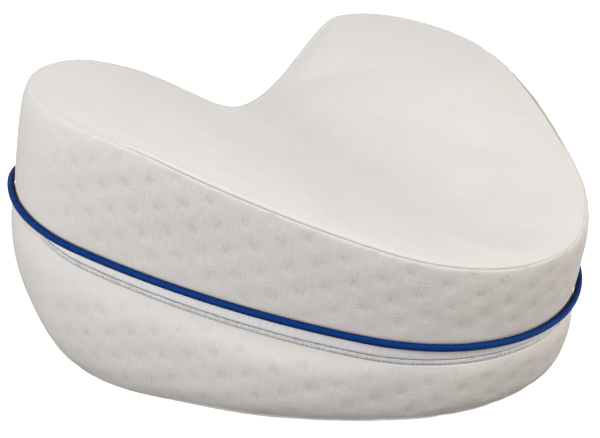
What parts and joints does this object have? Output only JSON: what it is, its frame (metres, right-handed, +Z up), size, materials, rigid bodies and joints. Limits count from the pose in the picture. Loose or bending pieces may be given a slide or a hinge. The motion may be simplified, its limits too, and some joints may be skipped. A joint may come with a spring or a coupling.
{
  "type": "knee pillow",
  "caption": "Heart-shaped knee pillow with a saddle groove on both faces, thick lobes, a notched end, a sewn-in blue cord and a zip below it",
  "frame": {"origin": "on the floor, under the middle of the whole", "axes": "+X across the two lobes, +Y towards the notched end, +Z up; the plane of the cord rises by 12 degrees towards the notch as the pillow rests"},
  "size_m": [0.2738, 0.226, 0.1267],
  "materials": {
    "band_cloth": "white knitted jacquard cloth with small puffed marks",
    "panel_cloth": "white knitted jacquard cloth, stretched",
    "cord_satin": "blue satin over a cord",
    "zip_tape": "smooth white woven tape",
    "zip_coil": "white moulded coil teeth"
  },
  "bodies": {
    "root": {"filled_cushion": "band_cloth", "top_panel": "panel_cloth", "bottom_panel": "panel_cloth", "piping": "cord_satin", "zip_tape": "zip_tape", "zip_coil": "zip_coil"}
  },
  "joints": []
}
